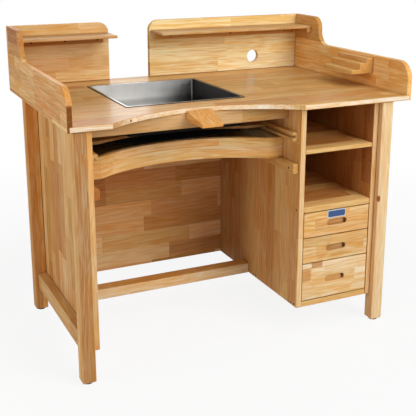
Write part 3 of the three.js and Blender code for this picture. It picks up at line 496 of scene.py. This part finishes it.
# A drawer's finger pull: its ends, the X where the painted shade of its right end starts, its planes in Y
# and half its height
PULL_X = (0.298, 0.3786)
PULL_END_X = 0.3725
PULL_FRONT = -0.3512
PULL_FLOOR = -0.338
PULL_BACK = -0.33
PULL_HALF = 0.0125


def bore_shades(low_x, high_x):
    """Painted shade inside a cabinet panel's peg holes, between two planes."""
    return Patch((low_x, -0.345, 0.11), (high_x, 0.24, 0.79), BORE_SHADE, 1.0, 0.0003)


def pull_shades(drawer, strength):
    """Painted shade in a drawer's finger pull: inside it and at its right end."""
    low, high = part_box(drawer)
    bottom, top = ((low[2] + high[2]) / 2 + way * PULL_HALF for way in (-1, 1))
    inside = Patch(
        (PULL_X[0], PULL_FRONT, bottom), (PULL_X[1], PULL_FLOOR, top), PULL_SHADE, strength, 0.0003
    )
    end = Patch((PULL_END_X, PULL_FRONT, bottom), (PULL_X[1], PULL_BACK, top), PULL_END_SHADE, 0.7, 0.0015)
    return inside, end


# Every wooden node's wood, with grains that several woods share
LEG_LAYER = 0.0221
LEG_GRAIN = ("Z", "X", 0.045, 1.6)
RAIL_GRAIN = ("Y", "Z", 0.06, 0.5)
FRONT_GRAIN = ("X", "Z", 0.047)
# A pale tone for faces to the front: painted highlight on the cabinet panels' front edges
LIT_FRONT = (WORN_AND_LIT, 0.7)
RUNNERS = [
    *(f"upper_runner_{side}" for side in ("left", "right")),
    "lower_runner_right",
    *(f"drawer_{i}_runner_{side}" for i in (1, 2) for side in ("left", "right")),
]
CARCASSES = [f"drawer_{i}_carcass" for i in (1, 2, 3)]
BASES = [f"drawer_{i}_base" for i in (1, 2, 3)]

# The worktop's pale tone for faces to the front is a painted highlight on its front edge
dress_wood(
    "top", ["worktop"], "X", "Y", 0.056, 0.34, 1.2, 3,
    front=("FCF2E2", 0.8), gloss=0.35, contrast=0.85, figure=1.35, tint=(0.96, 1.02, 1.06),
)
dress_wood(
    "left_board", ["left_side_board"], "Y", "Z", 0.045, 0.3, 1.75, 5,
    contrast=1.0, figure=1.5, tint=(1.04, 1.0, 0.9), patches=[DARK_END],
)
dress_wood(
    "right_board", ["right_side_board"], "Y", "Z", 0.045, 0.3, 2.0, 8, tint=(1.08, 1.03, 0.88), figure=1.4
)
dress_wood("left_cheek", ["left_cheek"], "Y", "Z", 0.048, 0.3, 0.1, 4, contrast=0.7, figure=1.3)
dress_wood("right_cheek", ["right_cheek"], "Y", "Z", 0.048, 0.3, 0.8, 9)
dress_wood("left_back", ["left_back_board"], "X", "Z", 0.052, 0.3, 1.9, 12)
# The right back board's pale tone for faces to the front is painted light on its front face
dress_wood(
    "right_back", ["right_back_board"], "X", "Z", 0.052, 0.32, 2.0, 14,
    contrast=1.2, figure=1.2, tint=(1.03, 1.03, 0.95), front=("FFFBD0", 0.62),
)
dress_wood(
    "shelf", ["left_tool_shelf", "right_tool_shelf"], "X", "Y", 0.06, 0.4, 1.0, 17, tint=(0.93, 1.0, 1.2)
)
dress_wood(
    "cleat", ["left_shelf_cleat", "right_shelf_cleat", "right_end_cleat"], "X", "Z", 0.04, 0.5, 0.7, 19
)
dress_wood("rack", ["tool_rack"], "Y", "Z", 0.05, 0.5, 1.4, 21)
# The front-left leg's darker tone for faces to the front is painted shade on its front face
dress_wood(
    "leg_a", ["leg_front_left"], *LEG_GRAIN, 1.7, 23,
    layer=LEG_LAYER, contrast=0.4, figure=1.6, tint=(1.0, 1.03, 1.1), front=("B88F66", 0.8),
    patches=[LEG_CHIP],
)
dress_wood(
    "leg_b", ["leg_front_right"], *LEG_GRAIN, 2.2, 26,
    layer=LEG_LAYER, contrast=0.3, figure=0.8, tint=(0.97, 1.03, 1.12), knots=[LEG_KNOT],
    patches=[LEG_SIDE_SHADE],
)
dress_wood(
    "leg_c", ["leg_rear_left", "leg_rear_right"], *LEG_GRAIN, 1.2, 28,
    layer=LEG_LAYER, contrast=0.4, figure=1.3, tint=(1.0, 0.98, 0.9),
)
dress_wood("left_panel", ["left_side_panel"], "Z", "Y", 0.05, 0.38, 1.4, 31, contrast=1.25, figure=1.4)
dress_wood(
    "cabinet_left", ["cabinet_left_panel"], "Z", "Y", 0.052, 0.34, 1.35, 34,
    contrast=0.8, front=LIT_FRONT, rub=0.1, patches=[CABINET_BACK_SHADE, bore_shades(0.1866, 0.205)],
)
# The cabinet's right panel is darker than any timber here: painted shade for the bay wall it forms
dress_wood(
    "cabinet_right", ["cabinet_right_panel"], "Z", "Y", 0.052, 0.36, -1.1, 37,
    front=LIT_FRONT, rub=0.1, patches=[bore_shades(0.4716, 0.49)],
)
dress_wood(
    "cabinet_shelf", ["cabinet_bottom", "cabinet_fixed_shelf", "adjustable_shelf"],
    "X", "Y", 0.055, 0.4, 0.75, 39, contrast=1.1,
)
dress_wood(
    "back", ["back_panel"], "X", "Z", 0.062, 0.34, 0.7, 41,
    contrast=1.3, figure=0.85, tint=(0.99, 1.03, 1.18),
)
dress_wood("rail_y", ["left_bottom_rail", "right_bottom_rail", *RUNNERS], *RAIL_GRAIN, 1.2, 44)
# A darker copy of the rails' wood: painted shade for the left lower runner, which sits in shadow
dress_wood("runner", ["lower_runner_left"], *RAIL_GRAIN, -1.2, 45)
# The foot rail's pale tone for faces to the front is painted light on its front face
dress_wood("rail_x", ["foot_rail"], "X", "Z", 0.06, 0.5, 1.1, 46, front=("F4E2C2", 0.7))
dress_wood(
    "drawer_1", ["drawer_1_front"], *FRONT_GRAIN, 0.3, 1.85, 49,
    contrast=0.5, figure=1.35, patches=pull_shades("drawer_1_front", 0.3),
)
dress_wood(
    "drawer_2", ["drawer_2_front"], *FRONT_GRAIN, 0.26, 1.9, 52,
    contrast=0.6, figure=1.35, tint=(0.98, 1.03, 1.08), patches=pull_shades("drawer_2_front", 0.4),
)
dress_wood(
    "drawer_3", ["drawer_3_front"], *FRONT_GRAIN, 0.24, 2.4, 55,
    contrast=0.5, figure=1.2, tint=(0.96, 1.03, 1.18),
    patches=[*DARK_BLOCKS, *pull_shades("drawer_3_front", 0.1)],
)
dress_wood("box", [*CARCASSES, "catch_side_left", "catch_side_right"], *RAIL_GRAIN, 2.0, 58)
dress_wood("ply", [*BASES, "catch_base"], "X", "Y", 0.12, 0.7, 2.0, 61, figure=1.2, tint=(1.1, 0.92, 0.72))
dress_wood(
    "catch", ["catch_front"], "X", "Z", 0.036, 0.3, 2.0, 64, contrast=0.7, figure=1.4, thick=0.1
)
dress_wood(
    "apron", ["front_apron", "catch_back"], "X", "Z", 0.05, 0.4, 0.95, 67,
    figure=0.8, thick=0.1, tint=(0.9, 0.98, 1.16),
)
dress_wood("pin", ["bench_pin"], "Y", "X", 0.2, 0.6, 1.5, 70, figure=1.4, tint=(1.08, 1.0, 0.85))
dress_wood("frame", ["skin_frame"], "X", "Y", 0.05, 0.5, 0.6, 72)
dress("steel_tray", tray_steel("tray_steel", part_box("steel_tray")))
glide_black = speckled("glide_black", "1B1A18", 0.5)
for corner_name in ("front_left", "front_right", "rear_left", "rear_right"):
    dress("glide_" + corner_name, glide_black)


def new_object(name, mesh, material):
    """An object from a bmesh, which is freed."""
    data = bpy.data.meshes.new(name)
    mesh.to_mesh(data)
    mesh.free()
    data.materials.append(material)
    made = bpy.data.objects.new(name, data)
    scene.collection.objects.link(made)
    return made


def add_piece(name, mesh, material, body):
    """A new piece from a bmesh, riding on a body."""
    bmesh.ops.recalc_face_normals(mesh, faces=mesh.faces)
    piece = new_object(name, mesh, material)
    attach(piece, body)
    return piece


def smooth(piece):
    """Shades a piece's faces as one curved surface."""
    for polygon in piece.data.polygons:
        polygon.use_smooth = True


def join(mesh, low, high):
    """Faces between two rings of points, either of which may be a single point."""
    sides = max(len(low), len(high))
    for i in range(sides):
        j = (i + 1) % sides
        if len(low) == 1:
            mesh.faces.new((low[0], high[j], high[i]))
        elif len(high) == 1:
            mesh.faces.new((low[i], low[j], high[0]))
        else:
            mesh.faces.new((low[i], low[j], high[j], high[i]))


# The hide under the skin frame: nailed round its border, with a flap ahead of the scalloped front
HEM_X = (-0.4831, 0.1501)
HEM_FRONT = -0.135
HEM_BACK = 0.209
HEM_Z = 0.7017
HIDE = 0.0022
LAP = 0.018
SAG = 0.009
SAG_RUN = 0.13
ARC_X = -0.1665
ARC_HALF = 0.2626
ARC_DEPTH = 0.061
ARC_FRONT = -0.131
ARC_RADIUS = (ARC_HALF**2 + ARC_DEPTH**2) / (2 * ARC_DEPTH)
HIDE_COLUMNS = 110
HIDE_ROWS = 64
FLAP_SHARE = 0.1875

# Ripples just inside the nails: their height, where they rise and fade, and their waves in radians per metre
RIPPLE = 0.0007
RIPPLE_RISE = 0.03
RIPPLE_FADE = 0.07
WAVES_ACROSS = 190
WAVES_ALONG = 170
WAVE_START = 1.4
WANDER = 2.1
WANDERS_ALONG = 60


def nailed_line(x):
    """Where the hide is nailed along the frame's scalloped front."""
    reach = min(abs(x - ARC_X), ARC_HALF)
    return ARC_FRONT + ARC_DEPTH - ARC_RADIUS + math.sqrt(ARC_RADIUS**2 - reach**2)


def ease(value):
    """A smooth step from 0 to 1."""
    value = min(max(value, 0.0), 1.0)
    return value * value * (3 - 2 * value)


def ripple(x, y):
    """Uneven waves between 0 and 1."""
    across = math.sin(WAVES_ACROSS * x + WANDER * math.sin(WANDERS_ALONG * y))
    return 0.5 + 0.5 * across * math.sin(WAVES_ALONG * y + WAVE_START)


def hide_point(u, v):
    """A point on the hide's upper side: u from left to right, v from the flap's hem to the back."""
    x = HEM_X[0] + (HEM_X[1] - HEM_X[0]) * u
    line = nailed_line(x)
    if v < FLAP_SHARE:
        y = HEM_FRONT + (line - HEM_FRONT) * v / FLAP_SHARE
        return Vector((x, y, HEM_Z - SAG * ease((line - y) / ARC_DEPTH)))
    y = line + (HEM_BACK - line) * (v - FLAP_SHARE) / (1 - FLAP_SHARE)
    hem = min(x - HEM_X[0], HEM_X[1] - x, y - line, HEM_BACK - y) - LAP
    pulled = ease(hem / RIPPLE_RISE) * (1 - ease((hem - RIPPLE_RISE) / RIPPLE_FADE))
    return Vector((x, y, HEM_Z - SAG * ease(hem / SAG_RUN) - RIPPLE * pulled * ripple(x, y)))


def rim_of(layer):
    """The border points of a layer's rows, once round."""
    left = [row[0] for row in layer]
    right = [row[-1] for row in layer]
    return layer[0][:-1] + right[:-1] + layer[-1][:0:-1] + left[:0:-1]


def make_hide():
    """The hide as two layers of points, its thickness apart, joined round the rim."""
    mesh = bmesh.new()
    layers = []
    for drop in (0.0, HIDE):
        layer = []
        for row in range(HIDE_ROWS + 1):
            points = [hide_point(i / HIDE_COLUMNS, row / HIDE_ROWS) for i in range(HIDE_COLUMNS + 1)]
            layer.append([mesh.verts.new(point - Vector((0, 0, drop))) for point in points])
        layers.append(layer)
    for layer, turn in zip(layers, (1, -1)):
        for near, far in zip(layer, layer[1:]):
            for i in range(HIDE_COLUMNS):
                ring = (near[i], near[i + 1], far[i + 1], far[i])
                mesh.faces.new(ring[::turn])
    join(mesh, *(rim_of(layer) for layer in layers))
    return mesh


skin = add_piece("hanging_hide", make_hide(), leather("black_hide"), "skin")
smooth(skin)
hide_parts("leather_skin")


# Small fasteners
def aim(normal):
    """Turns +Z towards a direction."""
    return Vector((0, 0, 1)).rotation_difference(Vector(normal)).to_matrix().to_4x4()


def circle(radius, height, sides):
    """Points once round the Z axis."""
    turns = [2 * math.pi * i / sides for i in range(sides)]
    return [Vector((radius * math.cos(turn), radius * math.sin(turn), height)) for turn in turns]


def placed(mesh, matrix, points):
    """New corners of a mesh at points that a matrix moves."""
    return [mesh.verts.new(matrix @ point) for point in points]


def lathe(mesh, matrix, profile, sides):
    """A closed turned form from a profile of (radius, height), first and last on the axis."""
    rings = []
    for radius, height in profile:
        rings.append(placed(mesh, matrix, circle(radius, height, sides if radius else 1)))
    for low, high in zip(rings, rings[1:]):
        join(mesh, low, high)


# A screw head's forms, as shares of its radius and of its rise, and its sides
HEAD_RISE = 0.22
SKIRT_TOP = 0.3
CROWN_RADIUS = 0.72
CROWN_TOP = 0.85
CROSS_ARM = 0.52
CROSS_SLOT = 0.13
CROSS_FLOOR = 0.35
HEAD_SIDES = 24


def screw_head(mesh, at, normal, radius, turn):
    """A low domed head with a cross cut into it."""
    matrix = Matrix.Translation(Vector(at)) @ aim(normal) @ Matrix.Rotation(turn, 4, "Z")
    rise = HEAD_RISE * radius
    arm = CROSS_ARM * radius
    slot = CROSS_SLOT * radius
    cross = (
        (arm, -slot), (arm, slot), (slot, slot), (slot, arm), (-slot, arm), (-slot, slot),
        (-arm, slot), (-arm, -slot), (-slot, -slot), (-slot, -arm), (slot, -arm), (slot, -slot),
    )
    base = placed(mesh, matrix, circle(radius, 0, HEAD_SIDES))
    skirt = placed(mesh, matrix, circle(radius, SKIRT_TOP * rise, HEAD_SIDES))
    crown = placed(mesh, matrix, circle(CROWN_RADIUS * radius, CROWN_TOP * rise, HEAD_SIDES))
    lip = placed(mesh, matrix, [Vector((x, y, rise)) for x, y in cross])
    floor = placed(mesh, matrix, [Vector((x, y, CROSS_FLOOR * rise)) for x, y in cross])
    mesh.faces.new(base[::-1])
    join(mesh, base, skirt)
    join(mesh, skirt, crown)
    join(mesh, floor, lip)
    mesh.faces.new(floor)
    step = HEAD_SIDES // len(cross)
    for i, corner in enumerate(lip):
        span = [crown[(i * step - step + k) % HEAD_SIDES] for k in range(step + 1)]
        mesh.faces.new((corner, *span, lip[(i + 1) % len(lip)]))


def face_of(node, side):
    """The plane of one side of a node's box, such as -X."""
    low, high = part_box(node)
    axis = AXES[side[1]]
    return low[axis] if side[0] == "-" else high[axis]


# Where the screws sit, in metres, and their heads' radii
NORMALS = {"-X": (-1, 0, 0), "+X": (1, 0, 0), "-Y": (0, -1, 0)}
PANEL_SCREWS = ((-0.335, 0.454), (-0.039, 0.109), (-0.058, 0.112), (-0.314, 0.110), (-0.337, 0.112))
GROOVES = ((-0.5106, "+X"), (0.1776, "-X"))
GROOVE_SCREW = (-0.320, 0.7068)
LOWER_RUNNERS = (("lower_runner_left", "+X"), ("lower_runner_right", "-X"))
RUNNER_SCREWS_Y = (-0.311, 0.190)
RUNNER_SCREW_Z = 0.598
CLEATS = (("left_shelf_cleat", (-0.520, -0.397, -0.275)), ("right_shelf_cleat", (0.018, 0.273, 0.520)))
CLEAT_SCREW_Z = 0.975
BAY_RIGHT_WALL = 0.4708
WALL_SCREW_Y = -0.346
WALL_SCREWS_Z = (0.757, 0.596)
WOOD_SCREW = 0.0036
GROOVE_HEAD = 0.0029
WALL_HEAD = 0.0026
SCREW_SEED = 11


def screw_places():
    """Each screw's place, the side it faces and its head's radius."""
    places = []
    panel_face = face_of("cabinet_left_panel", "-X")
    for y, z in PANEL_SCREWS:
        places.append(((panel_face, y, z), "-X", WOOD_SCREW))
    for x, side in GROOVES:
        places.append(((x, *GROOVE_SCREW), side, GROOVE_HEAD))
    for node, side in LOWER_RUNNERS:
        for y in RUNNER_SCREWS_Y:
            places.append(((face_of(node, side), y, RUNNER_SCREW_Z), side, WOOD_SCREW))
    for node, columns in CLEATS:
        for x in columns:
            places.append(((x, face_of(node, "-Y"), CLEAT_SCREW_Z), "-Y", WOOD_SCREW))
    for z in WALL_SCREWS_Z:
        places.append(((BAY_RIGHT_WALL, WALL_SCREW_Y, z), "-X", WALL_HEAD))
    return places


def make_screws():
    """All the screw heads, each turned by chance."""
    chance = random.Random(SCREW_SEED)
    mesh = bmesh.new()
    for at, side, radius in screw_places():
        screw_head(mesh, at, NORMALS[side], radius, chance.uniform(0, math.pi))
    return mesh


screw_black = speckled("screw_black", "1C1916", 0.42, metal=0.7, scale=1500.0)
add_piece("screw_heads", make_screws(), screw_black, "bench")

# Tacks: how far they sit in from the hide's border, the gaps between them, and their turned form
TACK_INSET = 0.009
TACK_GAPS_ACROSS = 12
TACK_GAPS_ALONG = 6
TACK = ((0, -0.0004), (0.0042, -0.0004), (0.0042, 0.0003), (0.003, 0.0009), (0, 0.0012))
TACK_SIDES = 16


def make_tacks():
    """Round tacks through the hide's border, on its underside."""
    left = HEM_X[0] + TACK_INSET
    right = HEM_X[1] - TACK_INSET
    back = HEM_BACK - TACK_INSET
    places = []
    for i in range(TACK_GAPS_ACROSS + 1):
        x = left + (right - left) * i / TACK_GAPS_ACROSS
        places.append((x, back))
        places.append((x, nailed_line(x) + TACK_INSET))
    for i in range(1, TACK_GAPS_ALONG):
        for x in (left, right):
            front = nailed_line(x) + TACK_INSET
            places.append((x, front + (back - front) * i / TACK_GAPS_ALONG))
    mesh = bmesh.new()
    for x, y in places:
        matrix = Matrix.Translation(Vector((x, y, HEM_Z - HIDE))) @ aim((0, 0, -1))
        lathe(mesh, matrix, TACK, TACK_SIDES)
    return mesh


tacks = add_piece("hide_tacks", make_tacks(), brushed("tack_steel", "8F8A80", "X", 0.35), "skin")
smooth(tacks)

# Plain name plate on the top drawer: a bare metal plate with a bare blue panel sunk a little into it
PLATE_X = 0.3365
PLATE_Z = 0.4275
PLATE_BEVEL = 0.0003
PLATE_THICK = 0.0009
PANEL_THICK = 0.0003
PANEL_SINK = 0.0001
PLATE = (0.074, 0.028, 0.002, PLATE_THICK)
PANEL = (0.068, 0.022, 0.005, PANEL_THICK)
CORNER_STEPS = 6


def rounded(width, height, radius):
    """The outline of a rectangle with round corners."""
    points = []
    for quarter in range(4):
        x = (width / 2 - radius) * (1 if quarter in (0, 3) else -1)
        z = (height / 2 - radius) * (1 if quarter in (0, 1) else -1)
        for i in range(CORNER_STEPS + 1):
            turn = math.pi / 2 * (quarter + i / CORNER_STEPS)
            points.append((x + radius * math.cos(turn), z + radius * math.sin(turn)))
    return points


def make_plate(width, height, radius, thick, back):
    """A thin plate standing out of a front along -Y, with a small bevel round its face."""
    mesh = bmesh.new()
    bevel = min(0.3 * thick, PLATE_BEVEL)
    rings = []
    for shrink, out in ((0.0, 0.0), (0.0, thick - bevel), (bevel, thick)):
        outline = rounded(width - 2 * shrink, height - 2 * shrink, radius - shrink)
        rings.append([mesh.verts.new((PLATE_X + x, back - out, PLATE_Z + z)) for x, z in outline])
    for low, high in zip(rings, rings[1:]):
        join(mesh, low, high)
    mesh.faces.new(rings[0][::-1])
    mesh.faces.new(rings[-1])
    return mesh


drawer_face = face_of("drawer_1_front", "-Y")
plate_metal = brushed("plate_metal", "C9CCD2", "X", 0.34)
plate_blue = speckled("plate_blue", "2C4A7A", 0.42, scale=260.0)
add_piece("name_plate", make_plate(*PLATE, drawer_face), plate_metal, "drawer_1")
panel_back = drawer_face - PLATE_THICK + PANEL_SINK
add_piece("name_plate_panel", make_plate(*PANEL, panel_back), plate_blue, "drawer_1")

# Studio: a pale floor, a white surround and soft lamps
FLOOR_SIZE = 14.0
FLOOR_DROP = 0.0004
FLOOR_PAINT = (0.75, 0.75, 0.75, 1)
FLOOR_GLOW = 0.88
FLOOR_FADE = (0.9, 2.4)
AMBIENT = 0.06
AMBIENT_TINT = (1.0, 0.98, 0.95, 1)


def floor_white():
    """A pale floor that takes shadows near the object, and looks white further off."""
    s = Shader("floor_white")
    s.finish(Base_Color=FLOOR_PAINT, Roughness=0.9, Specular_IOR_Level=0.1)
    rays = s.node("LightPath").outputs
    seen = s.math("MAXIMUM", rays["Is Camera Ray"], rays["Is Glossy Ray"])
    fade = s.ease(s.vector("LENGTH", s.here), *FLOOR_FADE, FLOOR_GLOW, 1.0, curve="LINEAR")
    glow = s.node("Emission", Color=WHITE, Strength=1.0)
    look = s.blend(s.math("MULTIPLY", seen, fade), s.surface, glow)
    s.put(s.tree.nodes["Material Output"].inputs["Surface"], look)
    return s.material


def make_floor():
    """A large flat floor just under the glides."""
    mesh = bmesh.new()
    bmesh.ops.create_grid(mesh, x_segments=1, y_segments=1, size=FLOOR_SIZE)
    floor = new_object("floor", mesh, floor_white())
    floor.location = (0, 0, -FLOOR_DROP)


def make_world():
    """A dim light from all round, which the camera, metal and glass see as white."""
    world = bpy.data.worlds.new("studio")
    scene.world = world
    world.use_nodes = True
    world.node_tree.nodes.clear()
    sky = Nodes(world.node_tree)
    rays = sky.node("LightPath").outputs
    seen = rays["Is Camera Ray"]
    for name in ("Is Glossy Ray", "Is Transmission Ray"):
        seen = sky.math("MAXIMUM", seen, rays[name])
    dim = sky.node("Background", Color=AMBIENT_TINT, Strength=AMBIENT)
    white = sky.node("Background", Color=WHITE, Strength=1.0)
    sky.node("OutputWorld", Surface=sky.blend(seen, dim, white))


def add_lamp(name, at, target, size, watts):
    """A soft rectangular lamp that points at a target."""
    lamp = bpy.data.lights.new(name, "AREA")
    lamp.shape = "RECTANGLE"
    lamp.size, lamp.size_y = size
    lamp.energy = watts
    holder = bpy.data.objects.new(name, lamp)
    holder.location = at
    towards = Vector(target) - Vector(at)
    holder.rotation_euler = towards.to_track_quat("-Z", "Y").to_euler()
    scene.collection.objects.link(holder)


make_floor()
make_world()
add_lamp("key", (1.6, -3.6, 2.4), (0.0, 0.0, 0.6), (2.2, 2.2), 103)
add_lamp("fill", (-1.7, -3.4, 1.7), (-0.2, 0.0, 0.6), (0.9, 0.9), 12)
add_lamp("left", (-3.6, -0.8, 1.6), (0.0, 0.0, 0.6), (2.2, 2.2), 50)
add_lamp("top", (0.4, -1.4, 3.0), (0.1, 0.2, 0.8), (2.2, 1.4), 31)
add_lamp("back", (0.0, 3.2, 2.4), (0.0, 0.0, 0.8), (2.6, 1.6), 50)

# Camera: the photograph's side and height, tipped down a little where the photograph keeps uprights parallel
CAMERA_AT = (-1.1960, -2.6003, 1.3346)
CAMERA_TURN = 24.962
CAMERA_TIP = -15.15
CAMERA_SENSOR = 36.0
CAMERA_LENS = 71.48
CAMERA_SHIFT = -0.11
camera_data = bpy.data.cameras.new("camera")
camera_data.sensor_width = CAMERA_SENSOR
camera_data.lens = CAMERA_LENS
camera_data.shift_y = CAMERA_SHIFT
camera = bpy.data.objects.new("camera", camera_data)
camera.location = CAMERA_AT
camera.rotation_euler = (math.radians(90 + CAMERA_TIP), 0, math.radians(-CAMERA_TURN))
scene.collection.objects.link(camera)
scene.camera = camera
scene.view_settings.view_transform = "Standard"
